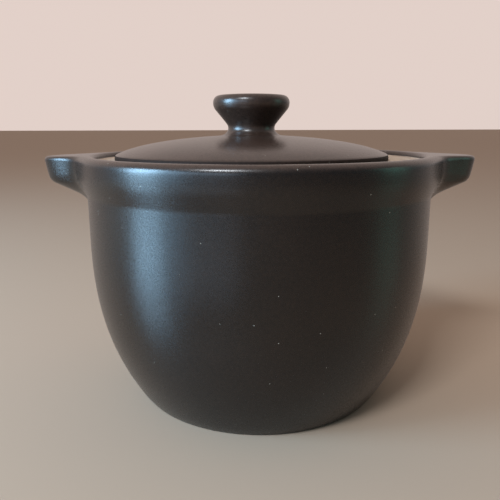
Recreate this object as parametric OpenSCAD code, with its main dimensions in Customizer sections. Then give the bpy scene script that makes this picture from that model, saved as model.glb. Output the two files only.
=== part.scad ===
// Stoneware casserole pot: a deep round-bellied pot with two lug handles at its rim,
// and a shallow domed lid with a flared knob that rests on a sunken seat inside the rim.
// Millimetres, +Z up. The origin is on the pot's axis, in the plane that its foot stands on.
// The lugs point along +X and -X.

/* [Pot] */
// Outside diameter of the pot at its belly
body_d = 207; // [170:1:250]
// Height from the table to the top of the rim
pot_h = 148.5; // [125:0.5:190]
// Height at which the wall stops widening
belly_h = 105; // [80:1:110]
// Outside diameter where the wall meets the foot
foot_d = 151; // [120:1:165]
// Thickness of the wall
wall_t = 6.5; // [4:0.25:9]
// Thickness of the floor above the recess under the pot
floor_t = 7.5; // [5:0.25:12]

/* [Foot ring] */
// Width of the unglazed ring that the pot stands on
ring_w = 7; // [4:0.5:12]
// Depth of the recess inside the ring
ring_h = 2.5; // [1:0.25:4]
// Radius of the ring's two edges
ring_edge_r = 1; // [0.4:0.1:1.6]

/* [Collar and rim] */
// How far the collar stands out from the belly
collar_proud = 2.6; // [1.5:0.1:6]
// Height of the collar's upright band, from the rim down
collar_h = 12; // [8:0.5:15]
// Depth below the rim where the collar has sloped back into the wall
collar_foot = 22; // [20:0.5:30]
// Radius of the rim's outer shoulder
rim_r = 4.2; // [2:0.1:4.7]
// Width of the rim, from the collar's face to the inside of the rim
rim_w = 7; // [6.6:0.1:9]
// Radius of the rim's inner edge
rim_inner_r = 2.2; // [0.5:0.1:2.3]

/* [Lid seat] */
// Depth of the seat below the rim
seat_depth = 3.2; // [3.1:0.1:6]
// Width of the seat, from the inside of the rim to the mouth
seat_w = 24; // [18:0.5:28]
// Thickness of the shelf at the mouth
seat_t = 6; // [4:0.25:9]
// Fall of the shelf's underside, from the mouth to the wall
seat_brace = 12; // [8:0.5:20]

/* [Lugs] */
// Reach of a lug beyond the collar
lug_reach = 27; // [15:0.5:34]
// Width of a lug across its nose
lug_w = 42; // [30:1:54]
// Depth of the nose, from its top to its lower edge
lug_t = 16; // [11:0.2:19]
// Slope of the underside, from the nose down to the wall, in degrees
lug_slope = 22; // [15:1:30]
// Fall of the lug's top, from the rim to the nose
lug_fall = 1; // [0:0.1:2]
// Slant of the nose, from its top to its lower edge
lug_slant = 3; // [0:0.1:4]
// Radius of the nose's upper edge
lug_top_r = 2.4; // [1:0.1:4]
// Radius of the nose's lower edge
lug_low_r = 6; // [3:0.1:7]
// Radius of the hollow under the lug
lug_root_r = 19; // [8:0.5:20]

/* [Lid] */
// How far the lid's edge laps over the seat
lid_lap = 7.7; // [7:0.1:12]
// Sideways play of the lid: the gap between its locating ring and the mouth
lid_play = 5.6; // [4.6:0.1:8]
// Where the lid lies in that play, along X
lid_shift = -4.4; // [-4.5:0.1:4.5]
// Thickness of the lid's edge
lid_edge_t = 3.2; // [2.8:0.1:5]
// Radius of the upper corner of the lid's edge
lid_edge_r = 2.4; // [0.5:0.1:3]
// Rise of the lid's dome above the top of its edge
lid_rise = 11.5; // [8:0.5:20]
// Share of that rise that is left to the rounding at the edge
lid_shoulder = 0.24; // [0.1:0.02:0.4]
// Thickness of the lid
lid_t = 6; // [4:0.25:8]
// Depth of the locating ring below the seat
guide_h = 4.5; // [3:0.25:8]
// Thickness of the locating ring
guide_w = 6; // [4:0.5:9]

/* [Knob] */
// Diameter of the knob at its widest
knob_d = 46.6; // [36:0.2:58]
// Diameter of the neck at the corner that its hollow rounds off
neck_d = 24.2; // [18:0.2:28]
// Height of that corner above the rim
neck_z = 14.6; // [13:0.2:18]
// Height of the knob's top above the rim
knob_top = 35.6; // [31:0.2:44]
// Depth of the knob's rim, from its top to where the taper starts
knob_rim_h = 7.6; // [6:0.1:11]
// Radius of the knob's upper edge
knob_edge_r = 4.2; // [2:0.1:4.6]
// Radius of the knob's lower edge
knob_low_r = 3; // [1:0.1:3.4]
// Radius of the neck's hollow
neck_r = 4; // [2.5:0.25:4.25]
// How far the foot of the neck spreads beyond that corner
neck_spread = 6; // [5:0.25:9]
// Rise of the knob's crowned top
crown = 0.8; // [0:0.1:2]

/* [Hidden] */

glaze = "#2b2522";

body_r = body_d / 2;
foot_r = foot_d / 2;
collar_r = body_r + collar_proud;
gallery_r = collar_r - rim_w;
mouth_r = gallery_r - seat_w;
seat_z = pot_h - seat_depth;
// the rim's crest, midway between the roundings of its two edges
crest_r = (collar_r - rim_r + gallery_r + rim_inner_r) / 2;
lid_r = mouth_r + lid_lap;
guide_r = mouth_r - lid_play;

// Power of the curve from the foot to the belly: 2 is a parabola, more is fuller
belly_power = 2.6;
// Steps of a long curve, of one rounded corner, and of one on a lug
curve_steps = 24;
corner_steps = 6;
lug_steps = 4;

// Points of a path whose inner corners are rounded. Each corner is [radius, height, rounding].
function unit(v) = v / norm(v);
function xy(corner) = [corner[0], corner[1]];
function corner_arc(before, at, after, r, steps) =
    let (
        to_before = unit(before - at),
        to_after = unit(after - at),
        half = acos(to_before * to_after) / 2,
        centre = at + unit(to_before + to_after) * r / sin(half),
        first = at + to_before * r / tan(half) - centre,
        last = at + to_after * r / tan(half) - centre,
        start = atan2(first.y, first.x),
        turn = (atan2(last.y, last.x) - start + 540) % 360 - 180
    )
    [for (i = [0:steps]) centre + r * [cos(start + turn * i / steps), sin(start + turn * i / steps)]];
function rounded(path, steps = corner_steps) = [
    xy(path[0]),
    for (i = [1:len(path) - 2])
        each path[i][2] > 0
            ? corner_arc(xy(path[i - 1]), xy(path[i]), xy(path[i + 1]), path[i][2], steps)
            : [xy(path[i])],
    xy(path[len(path) - 1])
];

// Radius of the belly at a height, for a curve that starts from radius r0 at height z0
function belly(z, r0, z0, r1) = r1 - (r1 - r0) * pow((belly_h - z) / (belly_h - z0), belly_power);
function belly_curve(r0, z0, r1, share) = [
    for (i = [0:curve_steps])
        let (z = z0 + (belly_h - z0) * (share + (1 - share) * i / curve_steps))
        [belly(z, r0, z0, r1), z]
];

// The collar's outer face from the rim's crest down to the wall, set in by a depth
function collar_path(depth, fall, low) = [
    [crest_r, pot_h - fall, 0],
    [collar_r - depth, pot_h - fall, rim_r - depth],
    [collar_r - depth, pot_h - collar_h, 4],
    [body_r - depth, pot_h - collar_foot, 9],
    [body_r - depth, pot_h - low, 0]
];

/* The lug's middle section, with a corner for each corner of the collar's path, so that
   the lug grows out of the collar by sliding each point from one path to the other */
lug_sink = 3;
lug_top_sink = 0.5;
lug_low = 46;
nose_r = collar_r + lug_reach;
root_drop = lug_t + (nose_r - lug_slant - body_r) * tan(lug_slope);
lug_path = [
    [crest_r, pot_h - lug_top_sink, 0],
    [nose_r, pot_h - lug_top_sink - lug_fall, lug_top_r],
    [nose_r - lug_slant, pot_h - lug_t, lug_low_r],
    [body_r + 1, pot_h - root_drop, lug_root_r],
    [body_r - lug_sink, pot_h - lug_low, 0]
];

module pot_profile() {
    inner_floor = ring_h + floor_t;
    inner_r = body_r - wall_t;
    inner_foot_r = foot_r - wall_t;
    // the share of the inner curve that the floor's corner takes
    corner_share = 0.12;
    curve_end = inner_floor + (belly_h - inner_floor) * corner_share;
    outer_low = rounded([
        [0, ring_h, 0],
        [foot_r - ring_w - ring_h, ring_h, ring_edge_r],
        [foot_r - ring_w, 0, ring_edge_r],
        [foot_r - 0.6, 0, ring_edge_r],
        [belly(4, foot_r, 0, body_r), 4, 0]
    ]);
    outer_belly = belly_curve(foot_r, 0, body_r, 4 / belly_h);
    collar = rounded(collar_path(0, 0, collar_foot + 1));
    inside = rounded([
        [crest_r, pot_h, 0],
        [gallery_r, pot_h, rim_inner_r],
        [gallery_r, seat_z, 0.8],
        [mouth_r, seat_z, 2],
        [mouth_r, seat_z - seat_t, 2.5],
        [inner_r, seat_z - seat_t - seat_brace, 8],
        [inner_r, belly_h, 0]
    ]);
    inner_belly = belly_curve(inner_foot_r, inner_floor, inner_r, corner_share);
    floor_corner = rounded([
        [belly(curve_end, inner_foot_r, inner_floor, inner_r), curve_end, 0],
        [inner_foot_r - 3, inner_floor, 12],
        [0, inner_floor, 0]
    ]);
    polygon(concat(
        outer_low,
        [for (i = [1:curve_steps]) outer_belly[i]],
        [for (i = [len(collar) - 1:-1:1]) collar[i]],
        inside,
        [for (i = [curve_steps - 1:-1:1]) inner_belly[i]],
        floor_corner
    ));
}

// How far a lug has grown out of the collar at an angle from its middle: a rounded nose that
// is narrower by a factor towards its lower edge, on a wide low flare into the rim
flare_share = 0.28;
flare_turn = 24;
// Power of the nose's outline in plan: 2 is a bell, more is blunter
nose_power = 2.8;
nose_turn = atan(lug_w / 2 / (collar_r + lug_reach * 0.3)) * 0.93;
function growth(angle, narrow) =
    (1 - flare_share) * exp(-pow(abs(angle) / (nose_turn * narrow), nose_power))
    + flare_share * exp(-pow(angle / flare_turn, 2));

module lug() {
    sweep_turn = 30;
    sweep_steps = 29;
    from_collar = rounded(collar_path(lug_sink, lug_top_sink, lug_low), lug_steps);
    to_nose = rounded(lug_path, lug_steps);
    count = len(to_nose);
    // the nose narrows from its upper edge to its lower one
    narrowing = [1, 1, 0.92, 0.9, 0.9];
    function narrow(j) =
        let (k = min(max((j - 1 - lug_steps / 2) / (lug_steps + 1) + 1, 0), 3.999))
        narrowing[floor(k)] + (narrowing[floor(k) + 1] - narrowing[floor(k)]) * (k - floor(k));
    function section(angle) = [
        for (j = [0:count - 1]) from_collar[j] + (to_nose[j] - from_collar[j]) * growth(angle, narrow(j))
    ];
    // the inner side of the lug's solid, deep in the wall
    core_r = body_r - wall_t * 0.85;
    core = [[core_r, pot_h - lug_low], [core_r, pot_h - collar_h]];
    rings = [
        for (i = [0:sweep_steps])
            let (angle = sweep_turn * (2 * i / sweep_steps - 1))
            [for (p = concat(section(angle), core)) [p.x * cos(angle), p.x * sin(angle), p.y]]
    ];
    size = count + len(core);
    function at(i, j) = i * size + j % size;
    polyhedron(
        points = [for (ring = rings) each ring],
        faces = concat(
            [[for (j = [0:size - 1]) at(0, j)]],
            [[for (j = [size - 1:-1:0]) at(sweep_steps, j)]],
            [for (i = [0:sweep_steps - 1], j = [0:size - 1])
                each [[at(i, j), at(i + 1, j), at(i + 1, j + 1)],
                      [at(i, j), at(i + 1, j + 1), at(i, j + 1)]]]
        )
    );
}

module pot() {
    color(glaze) {
        // turned a quarter, so that the round surfaces start and end between the lugs
        rotate([0, 0, 90]) rotate_extrude($fn = 180) pot_profile();
        lug();
        mirror([1, 0, 0]) lug();
    }
}

// Height of the lid's dome above the top of its edge, at a share u of its radius
function dome(u) = lid_rise * (1 - (1 - lid_shoulder) * pow(u, 2) - lid_shoulder * pow(u, 8));

module lid_profile() {
    edge_top = seat_z + lid_edge_t;
    neck_top = pot_h + neck_z;
    knob_z = pot_h + knob_top;
    under_z = seat_z - guide_h;
    neck_foot_r = neck_d / 2 + neck_spread;
    dome_end_r = neck_foot_r + 4;
    function top(r) = [r, edge_top + dome(r / lid_r)];
    function under(r) = [r, edge_top + dome(r / lid_r) - lid_t];
    dome_r = lid_r - lid_edge_r;
    dome_points = [for (i = [0:curve_steps]) top(dome_r + (dome_end_r - dome_r) * i / curve_steps)];
    edge = rounded([
        [guide_r, seat_z, 0],
        [lid_r, seat_z, 0.9],
        [lid_r, edge_top, lid_edge_r],
        [dome_r, top(dome_r).y, 0]
    ]);
    knob = rounded([
        [dome_end_r, top(dome_end_r).y, 0],
        [neck_foot_r, top(neck_foot_r).y, 7],
        [neck_d / 2, neck_top, neck_r],
        [knob_d / 2, knob_z - knob_rim_h, knob_low_r],
        [knob_d / 2, knob_z - crown, knob_edge_r],
        [knob_d / 4, knob_z - crown / 4, 0],
        [0, knob_z, 0]
    ]);
    under_r = guide_r - guide_w;
    guide = rounded([
        [under_r, under(under_r).y, 0],
        [under_r, under_z, 1.5],
        [guide_r, under_z, 1.5],
        [guide_r, seat_z, 0]
    ]);
    under_points = [for (i = [0:curve_steps - 1]) under(under_r * i / curve_steps)];
    polygon(concat(
        under_points,
        guide,
        [for (i = [1:len(edge) - 1]) edge[i]],
        [for (i = [1:curve_steps - 1]) dome_points[i]],
        knob
    ));
}

module lid() {
    color(glaze) translate([lid_shift, 0, 0]) rotate_extrude($fn = 180) lid_profile();
}

pot();
lid();
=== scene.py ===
# Stoneware casserole pot with a satin glaze, standing on a plain pale floor in soft daylight.
# The pot and the lid are each turned from one profile, and the lugs are drawn out of the collar.
import math
import bpy
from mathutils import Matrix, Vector


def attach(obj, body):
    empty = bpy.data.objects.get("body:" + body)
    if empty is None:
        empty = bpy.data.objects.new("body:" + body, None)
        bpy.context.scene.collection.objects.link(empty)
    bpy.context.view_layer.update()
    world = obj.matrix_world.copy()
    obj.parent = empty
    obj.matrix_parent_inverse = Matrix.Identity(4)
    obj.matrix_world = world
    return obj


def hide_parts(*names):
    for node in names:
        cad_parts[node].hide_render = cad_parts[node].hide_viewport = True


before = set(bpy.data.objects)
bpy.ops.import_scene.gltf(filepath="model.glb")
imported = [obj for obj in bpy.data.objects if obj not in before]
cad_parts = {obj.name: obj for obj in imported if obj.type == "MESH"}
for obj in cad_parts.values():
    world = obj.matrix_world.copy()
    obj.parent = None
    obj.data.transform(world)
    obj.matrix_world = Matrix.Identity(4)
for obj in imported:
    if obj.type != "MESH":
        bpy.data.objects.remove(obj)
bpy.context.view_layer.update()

ops = bpy.ops
mm = 0.001
same = 0.01    # mm: points that lie closer than this are one point


# Camera, at the height and angle of the photograph

cameraSet = {
    "distance": 346.5,   # from the pot's axis, mm
    "height": 164.7,     # above the floor, mm
    "pitch": 12.61,      # degrees down
    "yaw": 0.9,          # degrees to the left, which puts the pot right of the middle
    "roll": -0.15,       # degrees
    "lens": 39.6,        # mm
    "sensor": 36,        # mm, the width of its picture
    "near": 10,          # mm, closer than anything in view
}


def makeCamera(s):
    ops.object.camera_add(
        location=(0, -s["distance"] * mm, s["height"] * mm),
        rotation=(math.radians(90 - s["pitch"]), 0, math.radians(s["yaw"])))
    camera = bpy.context.object
    camera.name = "photoCamera"
    camera.data.lens = s["lens"]
    camera.data.sensor_width = s["sensor"]
    camera.data.clip_start = s["near"] * mm
    camera.rotation_euler.rotate_axis("Z", math.radians(s["roll"]))
    bpy.context.scene.camera = camera


# Profiles: each corner is (radius, height, rounding), in mm

def unit(x, y):
    size = math.hypot(x, y)
    return x / size, y / size


def roundCorner(before, at, after, steps):
    # the points of the arc that touches both sides of the corner
    x, y, rounding = at
    ax, ay = unit(before[0] - x, before[1] - y)
    bx, by = unit(after[0] - x, after[1] - y)
    half = math.acos(ax * bx + ay * by) / 2
    mx, my = unit(ax + bx, ay + by)
    reach = rounding / math.sin(half)
    side = rounding / math.tan(half)
    cx, cy = x + mx * reach, y + my * reach
    start = math.atan2(y + ay * side - cy, x + ax * side - cx)
    end = math.atan2(y + by * side - cy, x + bx * side - cx)
    turn = (end - start + 3 * math.pi) % (2 * math.pi) - math.pi
    return [(cx + rounding * math.cos(start + turn * i / steps),
             cy + rounding * math.sin(start + turn * i / steps)) for i in range(steps + 1)]


def roundPath(path, steps):
    points = [path[0][:2]]
    for before, at, after in zip(path, path[1:], path[2:]):
        points += roundCorner(before, at, after, steps) if at[2] else [at[:2]]
    return points + [path[-1][:2]]


def selectNone():
    if bpy.context.mode != "OBJECT":
        ops.object.mode_set(mode="OBJECT")
    ops.object.select_all(action="DESELECT")


def drawProfile(name, points):
    # a plane is merged to one vertex, which is then extruded from point to point
    selectNone()
    ops.mesh.primitive_plane_add(size=10 * mm)
    piece = bpy.context.object
    piece.name = name
    ops.object.mode_set(mode="EDIT")
    ops.mesh.merge(type="CENTER")
    x, z = points[0]
    ops.transform.translate(value=(x * mm, 0, z * mm))
    for nextX, nextZ in points[1:]:
        ops.mesh.extrude_region_move(
            TRANSFORM_OT_translate={"value": ((nextX - x) * mm, 0, (nextZ - z) * mm)})
        x, z = nextX, nextZ
    return piece


def spinProfile(piece, arcs):
    # each arc is (degrees, steps); together they go once round
    ops.mesh.select_all(action="SELECT")
    for degrees, steps in arcs:
        ops.mesh.spin(steps=steps, angle=math.radians(degrees), center=(0, 0, 0), axis=(0, 0, 1))
    ops.mesh.select_all(action="SELECT")
    ops.mesh.remove_doubles(threshold=same * mm)
    ops.mesh.normals_make_consistent(inside=False)
    ops.object.mode_set(mode="OBJECT")


def selectPiece(piece):
    selectNone()
    piece.select_set(True)
    bpy.context.view_layer.objects.active = piece


def shiftPiece(piece, x):
    # its mesh is moved, and its object stays at the origin
    selectPiece(piece)
    ops.object.mode_set(mode="EDIT")
    ops.mesh.select_all(action="SELECT")
    ops.transform.translate(value=(x * mm, 0, 0))
    ops.object.mode_set(mode="OBJECT")


def smoothPiece(piece, levels):
    selectPiece(piece)
    subdivision = piece.modifiers.new("smooth", "SUBSURF")
    subdivision.levels = levels
    subdivision.render_levels = levels
    ops.object.modifier_apply(modifier=subdivision.name)
    ops.object.shade_smooth()


# Pot

potSet = {
    "bodyR": 103.5, "height": 148.5, "bellyH": 105, "bellyPower": 2.6, "footR": 75.5,
    "wall": 6.5, "floor": 7.5,
    "ringW": 7, "ringH": 2.5, "ringEdge": 1, "ringInset": 0.6,
    "bellyFrom": 4,                          # height at which the foot ring's corner meets the belly
    "collarR": 106.1, "collarH": 12, "collarFoot": 22, "collarSoft": 30, "collarRoot": 9,
    "rimR": 4.2, "rimW": 7, "rimInner": 2.2,
    "seatDepth": 3.2, "seatW": 24, "seatT": 6, "seatBrace": 12,
    "seatRoot": 0.8, "mouthTop": 2, "mouthLow": 2.5, "braceR": 8,    # roundings at the lid's seat
    "cornerShare": 0.12, "cornerIn": 3, "cornerR": 12,               # where the floor meets the wall
    "glazedLip": 1.2,                        # mm of the seat that stay glazed at the mouth
    "level": 0.25,                           # mm within which a face lies on the seat or the ground
    "curveSteps": 24, "cornerSteps": 6, "ringSteps": 3,
    # degrees and steps of the turning: close together at the lugs, wider between them
    "arcs": [(18, 18), (144, 36), (36, 36), (144, 36), (18, 18)],
}

lugSet = {
    "reach": 26.9, "depth": 16, "slope": 22, "fall": 1, "slant": 3,
    "topR": 2.4, "lowR": 6, "rootR": 19, "rootOut": 1, "low": 42,
    "width": 42, "widthAt": 0.3,             # across the nose, at this share of the reach
    "widthTrim": 0.93, "power": 2.8,         # the nose's curve in plan
    "flareShare": 0.28, "flareTurn": 24,     # the flare at its root: share of the reach, and degrees
    "narrowing": [1, 1, 0.92, 0.9, 0.9],     # of the nose's width, at each corner of its path
    "sink": 3, "rootSink": 2.2,              # mm inside the wall at which its section starts
    "soft": 0.03,                            # of the step where it comes out of the collar
    "topTurn": 0.2,                          # how far the upper rounding turns with the outline
    "least": 0.0005,                         # growth below which a point stays on the collar
    "probe": 0.001,                          # radians to each side, for the outline's direction
}


def belly(z, r0, z0, r1, s):
    return r1 - (r1 - r0) * ((s["bellyH"] - z) / (s["bellyH"] - z0)) ** s["bellyPower"]


def bellyCurve(r0, z0, r1, share, s):
    heights = [z0 + (s["bellyH"] - z0) * (share + (1 - share) * i / s["curveSteps"])
               for i in range(s["curveSteps"] + 1)]
    return [(belly(z, r0, z0, r1, s), z) for z in heights]


def crestRadius(s):
    return s["collarR"] - (s["rimR"] + s["rimW"] - s["rimInner"]) / 2


def collarPath(s, low):
    return [(crestRadius(s), s["height"], 0),
            (s["collarR"], s["height"], s["rimR"]),
            (s["collarR"], s["height"] - s["collarH"], s["collarSoft"]),
            (s["bodyR"], s["height"] - s["collarFoot"], s["collarRoot"]),
            (s["bodyR"], s["height"] - low, 0)]


def lugPath(s, g):
    nose = s["collarR"] + g["reach"]
    drop = g["depth"] + (nose - g["slant"] - s["bodyR"]) * math.tan(math.radians(g["slope"]))
    return [(crestRadius(s), s["height"], 0),
            (nose, s["height"] - g["fall"], g["topR"]),
            (nose - g["slant"], s["height"] - g["depth"], g["lowR"]),
            (s["bodyR"] + g["rootOut"], s["height"] - drop, g["rootR"]),
            (s["bodyR"] - g["rootSink"], s["height"] - g["low"], 0)]


def potProfile(s, g):
    # from the middle of the base out and up, over the rim, and down inside to the middle of the floor
    innerFloor = s["ringH"] + s["floor"]
    innerR = s["bodyR"] - s["wall"]
    innerFoot = s["footR"] - s["wall"]
    galleryR = s["collarR"] - s["rimW"]
    mouthR = galleryR - s["seatW"]
    seatZ = s["height"] - s["seatDepth"]
    seatLow = seatZ - s["seatT"]
    curveEnd = innerFloor + (s["bellyH"] - innerFloor) * s["cornerShare"]
    foot = roundPath([(0, s["ringH"], 0),
                      (s["footR"] - s["ringW"] - s["ringH"], s["ringH"], s["ringEdge"]),
                      (s["footR"] - s["ringW"], 0, s["ringEdge"]),
                      (s["footR"] - s["ringInset"], 0, s["ringEdge"]),
                      (belly(s["bellyFrom"], s["footR"], 0, s["bodyR"], s), s["bellyFrom"], 0)],
                     s["ringSteps"])
    outer = bellyCurve(s["footR"], 0, s["bodyR"], s["bellyFrom"] / s["bellyH"], s)
    collar = roundPath(collarPath(s, g["low"]), s["cornerSteps"])
    inside = roundPath([(crestRadius(s), s["height"], 0),
                        (galleryR, s["height"], s["rimInner"]),
                        (galleryR, seatZ, s["seatRoot"]),
                        (mouthR, seatZ, s["mouthTop"]),
                        (mouthR, seatLow, s["mouthLow"]),
                        (innerR, seatLow - s["seatBrace"], s["braceR"]),
                        (innerR, s["bellyH"], 0)], s["cornerSteps"])
    inner = bellyCurve(innerFoot, innerFloor, innerR, s["cornerShare"], s)
    corner = roundPath([(belly(curveEnd, innerFoot, innerFloor, innerR, s), curveEnd, 0),
                        (innerFoot - s["cornerIn"], innerFloor, s["cornerR"]),
                        (innerFoot / 2, innerFloor, 0),
                        (0, innerFloor, 0)], s["cornerSteps"])
    return foot + outer[1:] + collar[::-1] + inside[1:] + inner[-2:0:-1] + corner


def lugGrowth(angle, narrow, g, s):
    # how far the lug has grown out at an angle from its middle: 1 at the nose, 0 on the plain collar
    half = math.atan(g["width"] / 2 / (s["collarR"] + g["reach"] * g["widthAt"]))
    nose = half * g["widthTrim"] * narrow
    flare = math.radians(g["flareTurn"])
    grown = ((1 - g["flareShare"]) * math.exp(-(abs(angle) / nose) ** g["power"])
             + g["flareShare"] * math.exp(-(angle / flare) ** 2))
    # the lug's section starts inside the wall, and comes out through the collar with a soft step
    step = g["sink"] / g["reach"]
    out = grown * (1 + step) - step
    return (out + math.hypot(out, g["soft"]) + step - math.hypot(step, g["soft"])) / 2


def lugNarrow(row, g, s):
    # the nose narrows from its upper edge to its lower one, by a factor at each corner of its path
    corner = (row - 1 - s["cornerSteps"] / 2) / (s["cornerSteps"] + 1) + 1
    before, after = g["narrowing"][int(corner)], g["narrowing"][int(corner) + 1]
    return before + (after - before) * (corner - int(corner))


def drawLugs(piece, s, g):
    # each point of the collar slides out to its place on the lug by its growth, and the points of the
    # upper rounding also turn part of the way with the lug's outline in plan
    rows = roundPath(collarPath(s, g["low"]), s["cornerSteps"])
    ends = roundPath(lugPath(s, g), s["cornerSteps"])
    topRows = range(1, s["cornerSteps"] + 2)
    nose = s["collarR"] + g["reach"]
    for vertex in piece.data.vertices:
        x, y, z = (c / mm for c in vertex.co)
        radius = math.hypot(x, y)
        apart = [math.hypot(radius - rowR, z - rowZ) for rowR, rowZ in rows]
        near = apart.index(min(apart))
        if apart[near] > same:
            continue
        side = 1 if x > 0 else -1
        angle = math.atan2(y, abs(x))
        narrow = lugNarrow(near, g, s)
        grown = lugGrowth(angle, narrow, g, s)
        if grown < g["least"]:
            continue
        startR, startZ = rows[near]
        endR, endZ = ends[near]
        newR = startR + max(endR - startR, 0) * grown
        inset, lean = 0, 0
        if near in topRows:
            ahead = lugGrowth(angle + g["probe"], narrow, g, s)
            behind = lugGrowth(angle - g["probe"], narrow, g, s)
            rise = (ahead - behind) / (2 * g["probe"]) * g["reach"]
            lean = -math.atan2(rise, s["collarR"] + g["reach"] * grown)
            inset = ((s["collarR"] - startR) * (1 - grown) + (nose - endR) * grown) * g["topTurn"]
        px = (newR + inset) * math.cos(angle) - inset * math.cos(angle + lean)
        py = (newR + inset) * math.sin(angle) - inset * math.sin(angle + lean)
        vertex.co = (side * px * mm, py * mm, (startZ + (endZ - startZ) * grown) * mm)


# Lid

lidSet = {
    "radius": 82.8, "shift": -4.4, "thick": 6, "seatZ": 145.3, "rimZ": 148.5,
    "edgeT": 3.2, "edgeR": 2.4, "edgeLow": 0.9,
    "rise": 11.5, "shoulder": 0.24, "shoulderPower": 8,     # the dome: a parabola with a fuller edge
    "guideR": 69.5, "guideH": 4.5, "guideW": 6, "guideEdge": 1.5,
    "knobR": 23.3, "knobTop": 35.6, "knobRim": 7.6, "knobEdge": 4.2, "knobLow": 6.6, "crown": 0.8,
    "neckR": 12.1, "neckZ": 14.6, "neckRound": 4,
    "neckSpread": 6, "spreadR": 7, "spreadEnd": 4,          # where the neck runs out into the dome
    "curveSteps": 24, "cornerSteps": 6,
    "arcs": [(360, 128)],
}


def lidProfile(s):
    # from the middle of its underside out round the guide ring and the edge, and up to the knob's top
    edgeTop = s["seatZ"] + s["edgeT"]
    guideZ = s["seatZ"] - s["guideH"]
    knobZ = s["rimZ"] + s["knobTop"]

    def top(r):
        u = r / s["radius"]
        fall = (1 - s["shoulder"]) * u ** 2
        return edgeTop + s["rise"] * (1 - fall - s["shoulder"] * u ** s["shoulderPower"])

    domeR = s["radius"] - s["edgeR"]
    footR = s["neckR"] + s["neckSpread"]
    endR = footR + s["spreadEnd"]
    innerR = s["guideR"] - s["guideW"]
    under = [(innerR * i / s["curveSteps"], top(innerR * i / s["curveSteps"]) - s["thick"])
             for i in range(s["curveSteps"])]
    guide = roundPath([(innerR, top(innerR) - s["thick"], 0),
                       (innerR, guideZ, s["guideEdge"]),
                       (s["guideR"], guideZ, s["guideEdge"]),
                       (s["guideR"], s["seatZ"], 0)], s["cornerSteps"])
    edge = roundPath([(s["guideR"], s["seatZ"], 0),
                      (s["radius"], s["seatZ"], s["edgeLow"]),
                      (s["radius"], edgeTop, s["edgeR"]),
                      (domeR, top(domeR), 0)], s["cornerSteps"])
    dome = [(domeR + (endR - domeR) * i / s["curveSteps"],
             top(domeR + (endR - domeR) * i / s["curveSteps"])) for i in range(1, s["curveSteps"])]
    knob = roundPath([(endR, top(endR), 0),
                      (footR, top(footR), s["spreadR"]),
                      (s["neckR"], s["rimZ"] + s["neckZ"], s["neckRound"]),
                      (s["knobR"], knobZ - s["knobRim"], s["knobLow"]),
                      (s["knobR"], knobZ - s["crown"], s["knobEdge"]),
                      (s["knobR"] / 2, knobZ - s["crown"] / 4, 0),   # half way out on a parabola
                      (0, knobZ, 0)], s["cornerSteps"])
    return under + guide + edge[1:] + dome + knob


# Materials

def linear(colour):
    # an sRGB hex value as linear red, green, blue and alpha
    values = [int(colour[i:i + 2], 16) / 255 for i in (1, 3, 5)]
    return [v / 12.92 if v <= 0.04045 else ((v + 0.055) / 1.055) ** 2.4 for v in values] + [1]


def addNode(tree, kind, settings, links):
    # settings are the node's own fields or its sockets' values; links are socket: (node, socket)
    node = tree.nodes.new(kind)
    for key, value in settings.items():
        if isinstance(key, str) and hasattr(node, key):
            setattr(node, key, value)
        else:
            node.inputs[key].default_value = value
    for key, (source, socket) in links.items():
        tree.links.new(source.outputs[socket], node.inputs[key])
    return node


def newMaterial(name):
    material = bpy.data.materials.new(name)
    material.use_nodes = True
    material.node_tree.nodes.clear()
    return material, material.node_tree


glazeSet = {
    "dark": "#0d0908", "brown": "#1c130e", "speck": "#8f877c",
    # the upper tones are lighter and browner: partly thinner glaze, partly painted sheen of the pale
    # backdrop on upward faces
    "thinPaintedDark": "#261b15", "thinPaintedBrown": "#3c2b23",
    "thinPaintedFrom": 144.5, "thinPaintedTo": 148,       # mm above the floor: thick below; above it, thinner glaze plus a painted sheen, lighter and browner
    "mottleSize": 1.8,       # mm, clouding of the glaze
    "poolSize": 40,          # mm, slow change over the pot
    "poolShare": 0.4,        # of the change in colour, and the clouding has the rest
    "toneFrom": 0.34, "toneTo": 0.66,       # all dark below, all brown above
    "grainSize": 0.7,        # mm, the fine tooth of a satin glaze, drawn coarse enough to show
    "grainFrom": 0.3, "grainTo": 0.7,       # the range that the grain's noise mostly fills
    "speckSpacing": 6,       # mm between the places where a pale speck may be
    "speckRadius": 0.28,     # mm
    "speckless": 0.55,       # share of those places that have none
    "roughLow": 0.22, "roughHigh": 0.34,
    "thinRoughLow": 0.26, "thinRoughHigh": 0.32,
    "bump": 0.007,           # mm, height of the tooth
    "thinTooth": 0.5,        # share of that height where the glaze is thin
    "specular": 0.5,         # the shader's own default, for a glossy coat
    "ior": 1.5,
}

# the lid's edge, where it meets the seat, is dull and matt, and its colours are darker: painted shade
# of the narrow gap under the rim's crest
dryShadedEdgeSet = {
    **glazeSet, "thinPaintedDark": "#1a120e", "thinPaintedBrown": "#2a1d17",
    "roughLow": 0.6, "roughHigh": 0.7, "thinRoughLow": 0.6, "thinRoughHigh": 0.7, "specular": 0.1,
}


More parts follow.
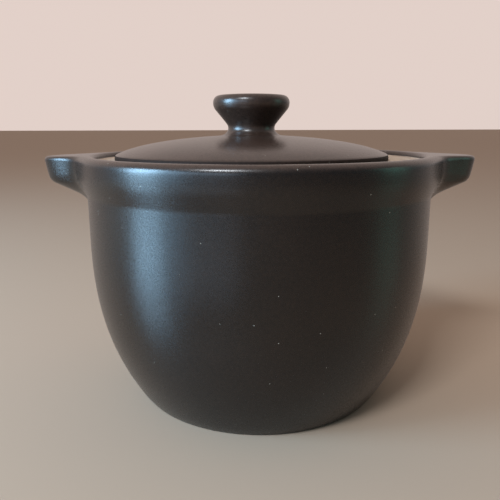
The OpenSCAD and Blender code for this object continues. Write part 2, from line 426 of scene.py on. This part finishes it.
def satinGlaze(name, s):
    # iron-rich satin glaze on stoneware: nearly black and finely toothed. On the lid and along the
    # rim's crest and the lugs' tops it is browner and lighter, with a finer tooth: partly thinner
    # glaze, partly a painted sheen that stands in for the pale backdrop's reflection on these upward
    # faces
    material, tree = newMaterial(name)
    place = addNode(tree, "ShaderNodeTexCoord", {}, {})
    split = addNode(tree, "ShaderNodeSeparateXYZ", {}, {0: (place, "Object")})
    thinAndPainted = addNode(tree, "ShaderNodeMapRange", {"interpolation_type": "SMOOTHSTEP",
                   "From Min": s["thinPaintedFrom"] * mm, "From Max": s["thinPaintedTo"] * mm},
                   {"Value": (split, "Z")})
    mottle = addNode(tree, "ShaderNodeTexNoise", {"Scale": 1 / (s["mottleSize"] * mm), "Detail": 5,
                     "Roughness": 0.6}, {"Vector": (place, "Object")})
    pool = addNode(tree, "ShaderNodeTexNoise", {"Scale": 1 / (s["poolSize"] * mm), "Detail": 3},
                   {"Vector": (place, "Object")})
    grain = addNode(tree, "ShaderNodeTexNoise", {"Scale": 1 / (s["grainSize"] * mm), "Detail": 4,
                    "Roughness": 0.65}, {"Vector": (place, "Object")})
    clouds = addNode(tree, "ShaderNodeMath", {"operation": "MULTIPLY", 1: 1 - s["poolShare"]},
                     {0: (mottle, "Fac")})
    both = addNode(tree, "ShaderNodeMath", {"operation": "MULTIPLY_ADD", 1: s["poolShare"]},
                   {0: (pool, "Fac"), 2: (clouds, "Value")})
    tone = addNode(tree, "ShaderNodeMapRange", {"From Min": s["toneFrom"], "From Max": s["toneTo"]},
                   {"Value": (both, "Value")})
    # higher up the tones go lighter and browner: partly thinner glaze, partly painted sheen on the
    # upward faces
    dark = addNode(tree, "ShaderNodeMix", {"data_type": "RGBA", 6: linear(s["dark"]),
                   7: linear(s["thinPaintedDark"])}, {0: (thinAndPainted, "Result")})
    brown = addNode(tree, "ShaderNodeMix", {"data_type": "RGBA", 6: linear(s["brown"]),
                    7: linear(s["thinPaintedBrown"])}, {0: (thinAndPainted, "Result")})
    colour = addNode(tree, "ShaderNodeMix", {"data_type": "RGBA"},
                     {0: (tone, "Result"), 6: (dark, 2), 7: (brown, 2)})
    cells = addNode(tree, "ShaderNodeTexVoronoi", {"Scale": 1 / (s["speckSpacing"] * mm)},
                    {"Vector": (place, "Object")})
    near = addNode(tree, "ShaderNodeMath", {"operation": "LESS_THAN",
                   1: s["speckRadius"] / s["speckSpacing"]}, {0: (cells, "Distance")})
    chosen = addNode(tree, "ShaderNodeSeparateColor", {}, {0: (cells, "Color")})
    some = addNode(tree, "ShaderNodeMath", {"operation": "GREATER_THAN", 1: s["speckless"]},
                   {0: (chosen, 0)})
    speck = addNode(tree, "ShaderNodeMath", {"operation": "MULTIPLY"},
                    {0: (near, "Value"), 1: (some, "Value")})
    speckled = addNode(tree, "ShaderNodeMix", {"data_type": "RGBA", 7: linear(s["speck"])},
                       {0: (speck, "Value"), 6: (colour, 2)})
    grainRange = {"From Min": s["grainFrom"], "From Max": s["grainTo"]}
    thickRough = addNode(tree, "ShaderNodeMapRange", {**grainRange, "To Min": s["roughLow"],
                         "To Max": s["roughHigh"]}, {"Value": (grain, "Fac")})
    thinRough = addNode(tree, "ShaderNodeMapRange", {**grainRange, "To Min": s["thinRoughLow"],
                        "To Max": s["thinRoughHigh"]}, {"Value": (grain, "Fac")})
    rough = addNode(tree, "ShaderNodeMix", {"data_type": "FLOAT"},
                    {0: (thinAndPainted, "Result"), 2: (thickRough, "Result"), 3: (thinRough, "Result")})
    tooth = addNode(tree, "ShaderNodeMapRange", {"To Min": 1, "To Max": s["thinTooth"]},
                    {"Value": (thinAndPainted, "Result")})
    height = addNode(tree, "ShaderNodeMath", {"operation": "MULTIPLY"},
                     {0: (grain, "Fac"), 1: (tooth, "Result")})
    bump = addNode(tree, "ShaderNodeBump", {"Strength": 1, "Distance": s["bump"] * mm},
                   {"Height": (height, "Value")})
    shader = addNode(tree, "ShaderNodeBsdfPrincipled",
                     {"IOR": s["ior"], "Specular IOR Level": s["specular"]},
                     {"Base Color": (speckled, 2), "Roughness": (rough, 0), "Normal": (bump, "Normal")})
    addNode(tree, "ShaderNodeOutputMaterial", {}, {"Surface": (shader, "BSDF")})
    return material


claySet = {
    "light": "#b9a48f", "dark": "#94806d",
    "grainSize": 1.1,        # mm, sand in the clay
    "grainShare": 0.45,      # what the sand adds to the toasting's change in colour
    "cloudSize": 9,          # mm, toasting from the kiln
    "toneFrom": 0.55, "toneTo": 0.9,        # all dark below, all light above
    "bump": 0.08,            # mm
    "rough": 0.85, "ior": 1.5,
}


def bareClay(s):
    # unglazed buff stoneware, wiped clean where the lid and the kiln's shelf touch: dry and matt, with
    # a sandy grain and soft toasted patches
    material, tree = newMaterial("bareStoneware")
    place = addNode(tree, "ShaderNodeTexCoord", {}, {})
    cloud = addNode(tree, "ShaderNodeTexNoise", {"Scale": 1 / (s["cloudSize"] * mm), "Detail": 4},
                    {"Vector": (place, "Object")})
    grain = addNode(tree, "ShaderNodeTexNoise", {"Scale": 1 / (s["grainSize"] * mm), "Detail": 4},
                    {"Vector": (place, "Object")})
    both = addNode(tree, "ShaderNodeMath", {"operation": "MULTIPLY_ADD", 1: s["grainShare"]},
                   {0: (grain, "Fac"), 2: (cloud, "Fac")})
    tone = addNode(tree, "ShaderNodeMapRange", {"From Min": s["toneFrom"], "From Max": s["toneTo"]},
                   {"Value": (both, "Value")})
    colour = addNode(tree, "ShaderNodeMix", {"data_type": "RGBA", 6: linear(s["dark"]),
                     7: linear(s["light"])}, {0: (tone, "Result")})
    bump = addNode(tree, "ShaderNodeBump", {"Strength": 1, "Distance": s["bump"] * mm},
                   {"Height": (grain, "Fac")})
    shader = addNode(tree, "ShaderNodeBsdfPrincipled", {"Roughness": s["rough"], "IOR": s["ior"]},
                     {"Base Color": (colour, 2), "Normal": (bump, "Normal")})
    addNode(tree, "ShaderNodeOutputMaterial", {}, {"Surface": (shader, "BSDF")})
    return material


def bareFaces(piece, s, clay):
    # the lid seat and the face of the foot ring are left unglazed
    seatZ = s["height"] - s["seatDepth"]
    galleryR = s["collarR"] - s["rimW"]
    mouthR = galleryR - s["seatW"]
    piece.data.materials.append(clay)
    for face in piece.data.polygons:
        x, y, z = (c / mm for c in face.center)
        radius = math.hypot(x, y)
        onSeat = mouthR + s["glazedLip"] < radius < galleryR and abs(z - seatZ) < s["level"]
        onFoot = z < s["level"]
        if onSeat or onFoot:
            face.material_index = 1


def dryShadedEdge(piece, s, dryGlaze):
    # the lid's upright edge and the outer half of its upper rounding, in the darker dull glaze: painted
    # shade under the rim's crest
    edgeTop = s["seatZ"] + s["edgeT"]
    piece.data.materials.append(dryGlaze)
    for face in piece.data.polygons:
        x, y, z = (c / mm for c in face.center)
        if math.hypot(x - s["shift"], y) > s["radius"] - s["edgeR"] and z < edgeTop:
            face.material_index = 1


# Stage and light

stageSet = {
    "floor": "#a6917e", "floorSize": 60,    # m across, so that its edge is far off
    "floorRough": 0.17, "floorSteep": 0.6,  # its roughness at a grazing and at a steep angle,
    "grazing": 0.5, "steep": 0.3,           # and where these start, with 1 along it and 0 square to it
    "floorPlain": 0.9, "floorSpecular": 0.2,    # its roughness and gloss as the camera sees it
    "bright": "#f3e0d8", "brightLevel": 0.85,   # the pale backdrop
    "dim": "#c6d0da", "dimLevel": 0.28,         # the cooler side in front of the pot
    "towards": (-0.1, 0.75, 0.65),              # the direction in which the backdrop is brightest,
    "dimTo": -0.05, "brightFrom": 0.7,          # and how far along it each side reaches
}

# Each window is a soft panel: its turn to the left of the camera's side and its rise, in degrees,
# its distance, width and height in mm, its colour, and its brightness on the backdrop's scale
windowSet = {
    "tallWindow": {"turn": 71, "rise": 17, "away": 1500, "size": (540, 740),
                   "colour": "#acdcff", "level": 25},
    "sidePane": {"turn": 53, "rise": 14, "away": 1500, "size": (400, 600),
                 "colour": "#a2d2f8", "level": 5},
    "upperPane": {"turn": 25, "rise": 46, "away": 1500, "size": (400, 240),
                  "colour": "#eaf1f8", "level": 40},
    "paleDoor": {"turn": 31, "rise": 13, "away": 1500, "size": (960, 330),
                 "colour": "#bcd2ea", "level": 3.6},
    "gardenDoor": {"turn": -86, "rise": 16, "away": 1400, "size": (460, 640),
                   "colour": "#8fd0bc", "level": 1.3},
}


def makeFloor(s):
    selectNone()
    ops.mesh.primitive_plane_add(size=s["floorSize"])
    floor = bpy.context.object
    floor.name = "table"
    # pale satin lacquer. The glaze mirrors it, shiny at a grazing angle and hardly at a steep one, and
    # the camera sees it plain, with no glare of the windows on it
    material, tree = newMaterial("paleTable")
    slant = addNode(tree, "ShaderNodeLayerWeight", {}, {})
    rough = addNode(tree, "ShaderNodeMapRange", {"From Min": s["steep"], "From Max": s["grazing"],
                    "To Min": s["floorSteep"], "To Max": s["floorRough"]}, {"Value": (slant, "Facing")})
    satin = addNode(tree, "ShaderNodeBsdfPrincipled", {"Base Color": linear(s["floor"])},
                    {"Roughness": (rough, "Result")})
    plain = addNode(tree, "ShaderNodeBsdfPrincipled", {"Base Color": linear(s["floor"]),
                    "Roughness": s["floorPlain"], "Specular IOR Level": s["floorSpecular"]}, {})
    path = addNode(tree, "ShaderNodeLightPath", {}, {})
    seen = addNode(tree, "ShaderNodeMixShader", {},
                   {0: (path, "Is Camera Ray"), 1: (satin, "BSDF"), 2: (plain, "BSDF")})
    addNode(tree, "ShaderNodeOutputMaterial", {}, {"Surface": (seen, "Shader")})
    floor.data.materials.append(material)


def makeWorld(s):
    # bright behind the pot and dim in front of it, and the same for the camera, the floor and the glaze
    world = bpy.data.worlds.new("room")
    bpy.context.scene.world = world
    world.use_nodes = True
    tree = world.node_tree
    tree.nodes.clear()
    place = addNode(tree, "ShaderNodeTexCoord", {}, {})
    along = addNode(tree, "ShaderNodeVectorMath", {"operation": "DOT_PRODUCT", 1: s["towards"]},
                    {0: (place, "Generated")})
    side = addNode(tree, "ShaderNodeMapRange", {"interpolation_type": "SMOOTHSTEP",
                   "From Min": s["dimTo"], "From Max": s["brightFrom"]}, {"Value": (along, "Value")})
    colour = addNode(tree, "ShaderNodeMix", {"data_type": "RGBA", 6: linear(s["dim"]),
                     7: linear(s["bright"])}, {0: (side, "Result")})
    level = addNode(tree, "ShaderNodeMapRange", {"To Min": s["dimLevel"], "To Max": s["brightLevel"]},
                    {"Value": (side, "Result")})
    light = addNode(tree, "ShaderNodeBackground", {},
                    {"Color": (colour, 2), "Strength": (level, "Result")})
    addNode(tree, "ShaderNodeOutputWorld", {}, {"Surface": (light, "Background")})


panelGap = 10       # mm between a low panel and the floor
panelPower = 4      # watts for each square metre of a panel whose brightness is 1


def makeWindow(name, s):
    # the panel faces the pot, and it is lifted clear of the floor if it is low
    turn, rise = math.radians(s["turn"]), math.radians(s["rise"])
    width, height = (side * mm for side in s["size"])
    away = s["away"] * mm
    middle = max(away * math.sin(rise), height / 2 * math.cos(rise) + panelGap * mm)
    at = Vector((-away * math.cos(rise) * math.sin(turn),
                 -away * math.cos(rise) * math.cos(turn), middle))
    ops.object.light_add(type="AREA", location=at)
    lamp = bpy.context.object
    lamp.name = name
    lamp.rotation_euler = at.to_track_quat("Z", "Y").to_euler()
    lamp.visible_camera = False
    lamp.data.shape = "RECTANGLE"
    lamp.data.size, lamp.data.size_y = width, height
    lamp.data.color = linear(s["colour"])[:3]
    lamp.data.energy = s["level"] * panelPower * width * height


# Making

makeCamera(cameraSet)
makeFloor(stageSet)
makeWorld(stageSet)
for name, window in windowSet.items():
    makeWindow(name, window)
print("camera, floor and windows are placed")

glaze = satinGlaze("satinGlaze", glazeSet)
clay = bareClay(claySet)
print("glaze and clay are mixed")

pot = drawProfile("potBody", potProfile(potSet, lugSet))
spinProfile(pot, potSet["arcs"])
drawLugs(pot, potSet, lugSet)
smoothPiece(pot, 1)
pot.data.materials.append(glaze)
bareFaces(pot, potSet, clay)
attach(pot, "root")
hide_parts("pot")
print("pot is turned and its lugs are drawn out")

lid = drawProfile("lidWithKnob", lidProfile(lidSet))
spinProfile(lid, lidSet["arcs"])
shiftPiece(lid, lidSet["shift"])
smoothPiece(lid, 1)
lid.data.materials.append(glaze)
dryShadedEdge(lid, lidSet, satinGlaze("dryGlaze", dryShadedEdgeSet))
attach(lid, "root")
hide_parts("lid")
print("lid is turned and lies off centre on its seat")

view = bpy.context.scene.view_settings
view.view_transform = "Standard"
